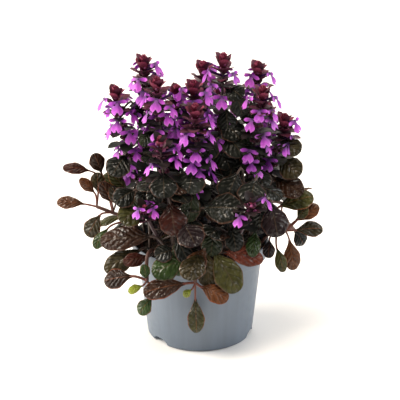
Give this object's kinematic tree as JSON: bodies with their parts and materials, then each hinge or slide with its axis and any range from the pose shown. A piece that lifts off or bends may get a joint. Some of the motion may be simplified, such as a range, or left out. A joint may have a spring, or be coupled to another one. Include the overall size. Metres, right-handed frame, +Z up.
{
  "type": "potted bugleweed",
  "caption": "Flowering bugleweed plant: purple spikes over dark spoon-shaped leaves with trailing runners, in a tapered nursery pot of soil.",
  "frame": {"origin": "middle of the flat base of the pot, on the surface that it stands on", "axes": "+Z up along the pot's axis; -Y towards the side that the picture shows; +X to the right of that view"},
  "size_m": [0.233, 0.1816, 0.257],
  "materials": {
    "pot": "satin",
    "soil": "matte",
    "flower": "matte",
    "leaf": "satin",
    "runner_leaf": "satin"
  },
  "bodies": {
    "root": {"pot": "pot", "potting_soil": "soil", "flower_spike_01": "flower", "flower_spike_02": "flower", "flower_spike_03": "flower", "flower_spike_04": "flower", "flower_spike_05": "flower", "flower_spike_06": "flower", "flower_spike_07": "flower", "flower_spike_08": "flower", "flower_spike_09": "flower", "flower_spike_10": "flower", "flower_spike_11": "flower", "flower_spike_12": "flower", "flower_spike_13": "flower", "flower_spike_14": "flower", "flower_spike_15": "flower", "flower_spike_16": "flower", "flower_spike_17": "flower", "flower_spike_18": "flower", "flower_spike_19": "flower", "runner_01": "runner_leaf", "runner_02": "runner_leaf", "runner_03": "runner_leaf", "runner_04": "runner_leaf", "runner_05": "runner_leaf", "runner_06": "runner_leaf", "leaf_rosette_01": "leaf", "leaf_rosette_02": "leaf", "leaf_rosette_03": "leaf", "leaf_rosette_04": "leaf", "leaf_rosette_05": "leaf", "leaf_rosette_06": "leaf", "leaf_rosette_07": "leaf", "leaf_rosette_08": "leaf", "leaf_rosette_09": "leaf"}
  },
  "joints": []
}
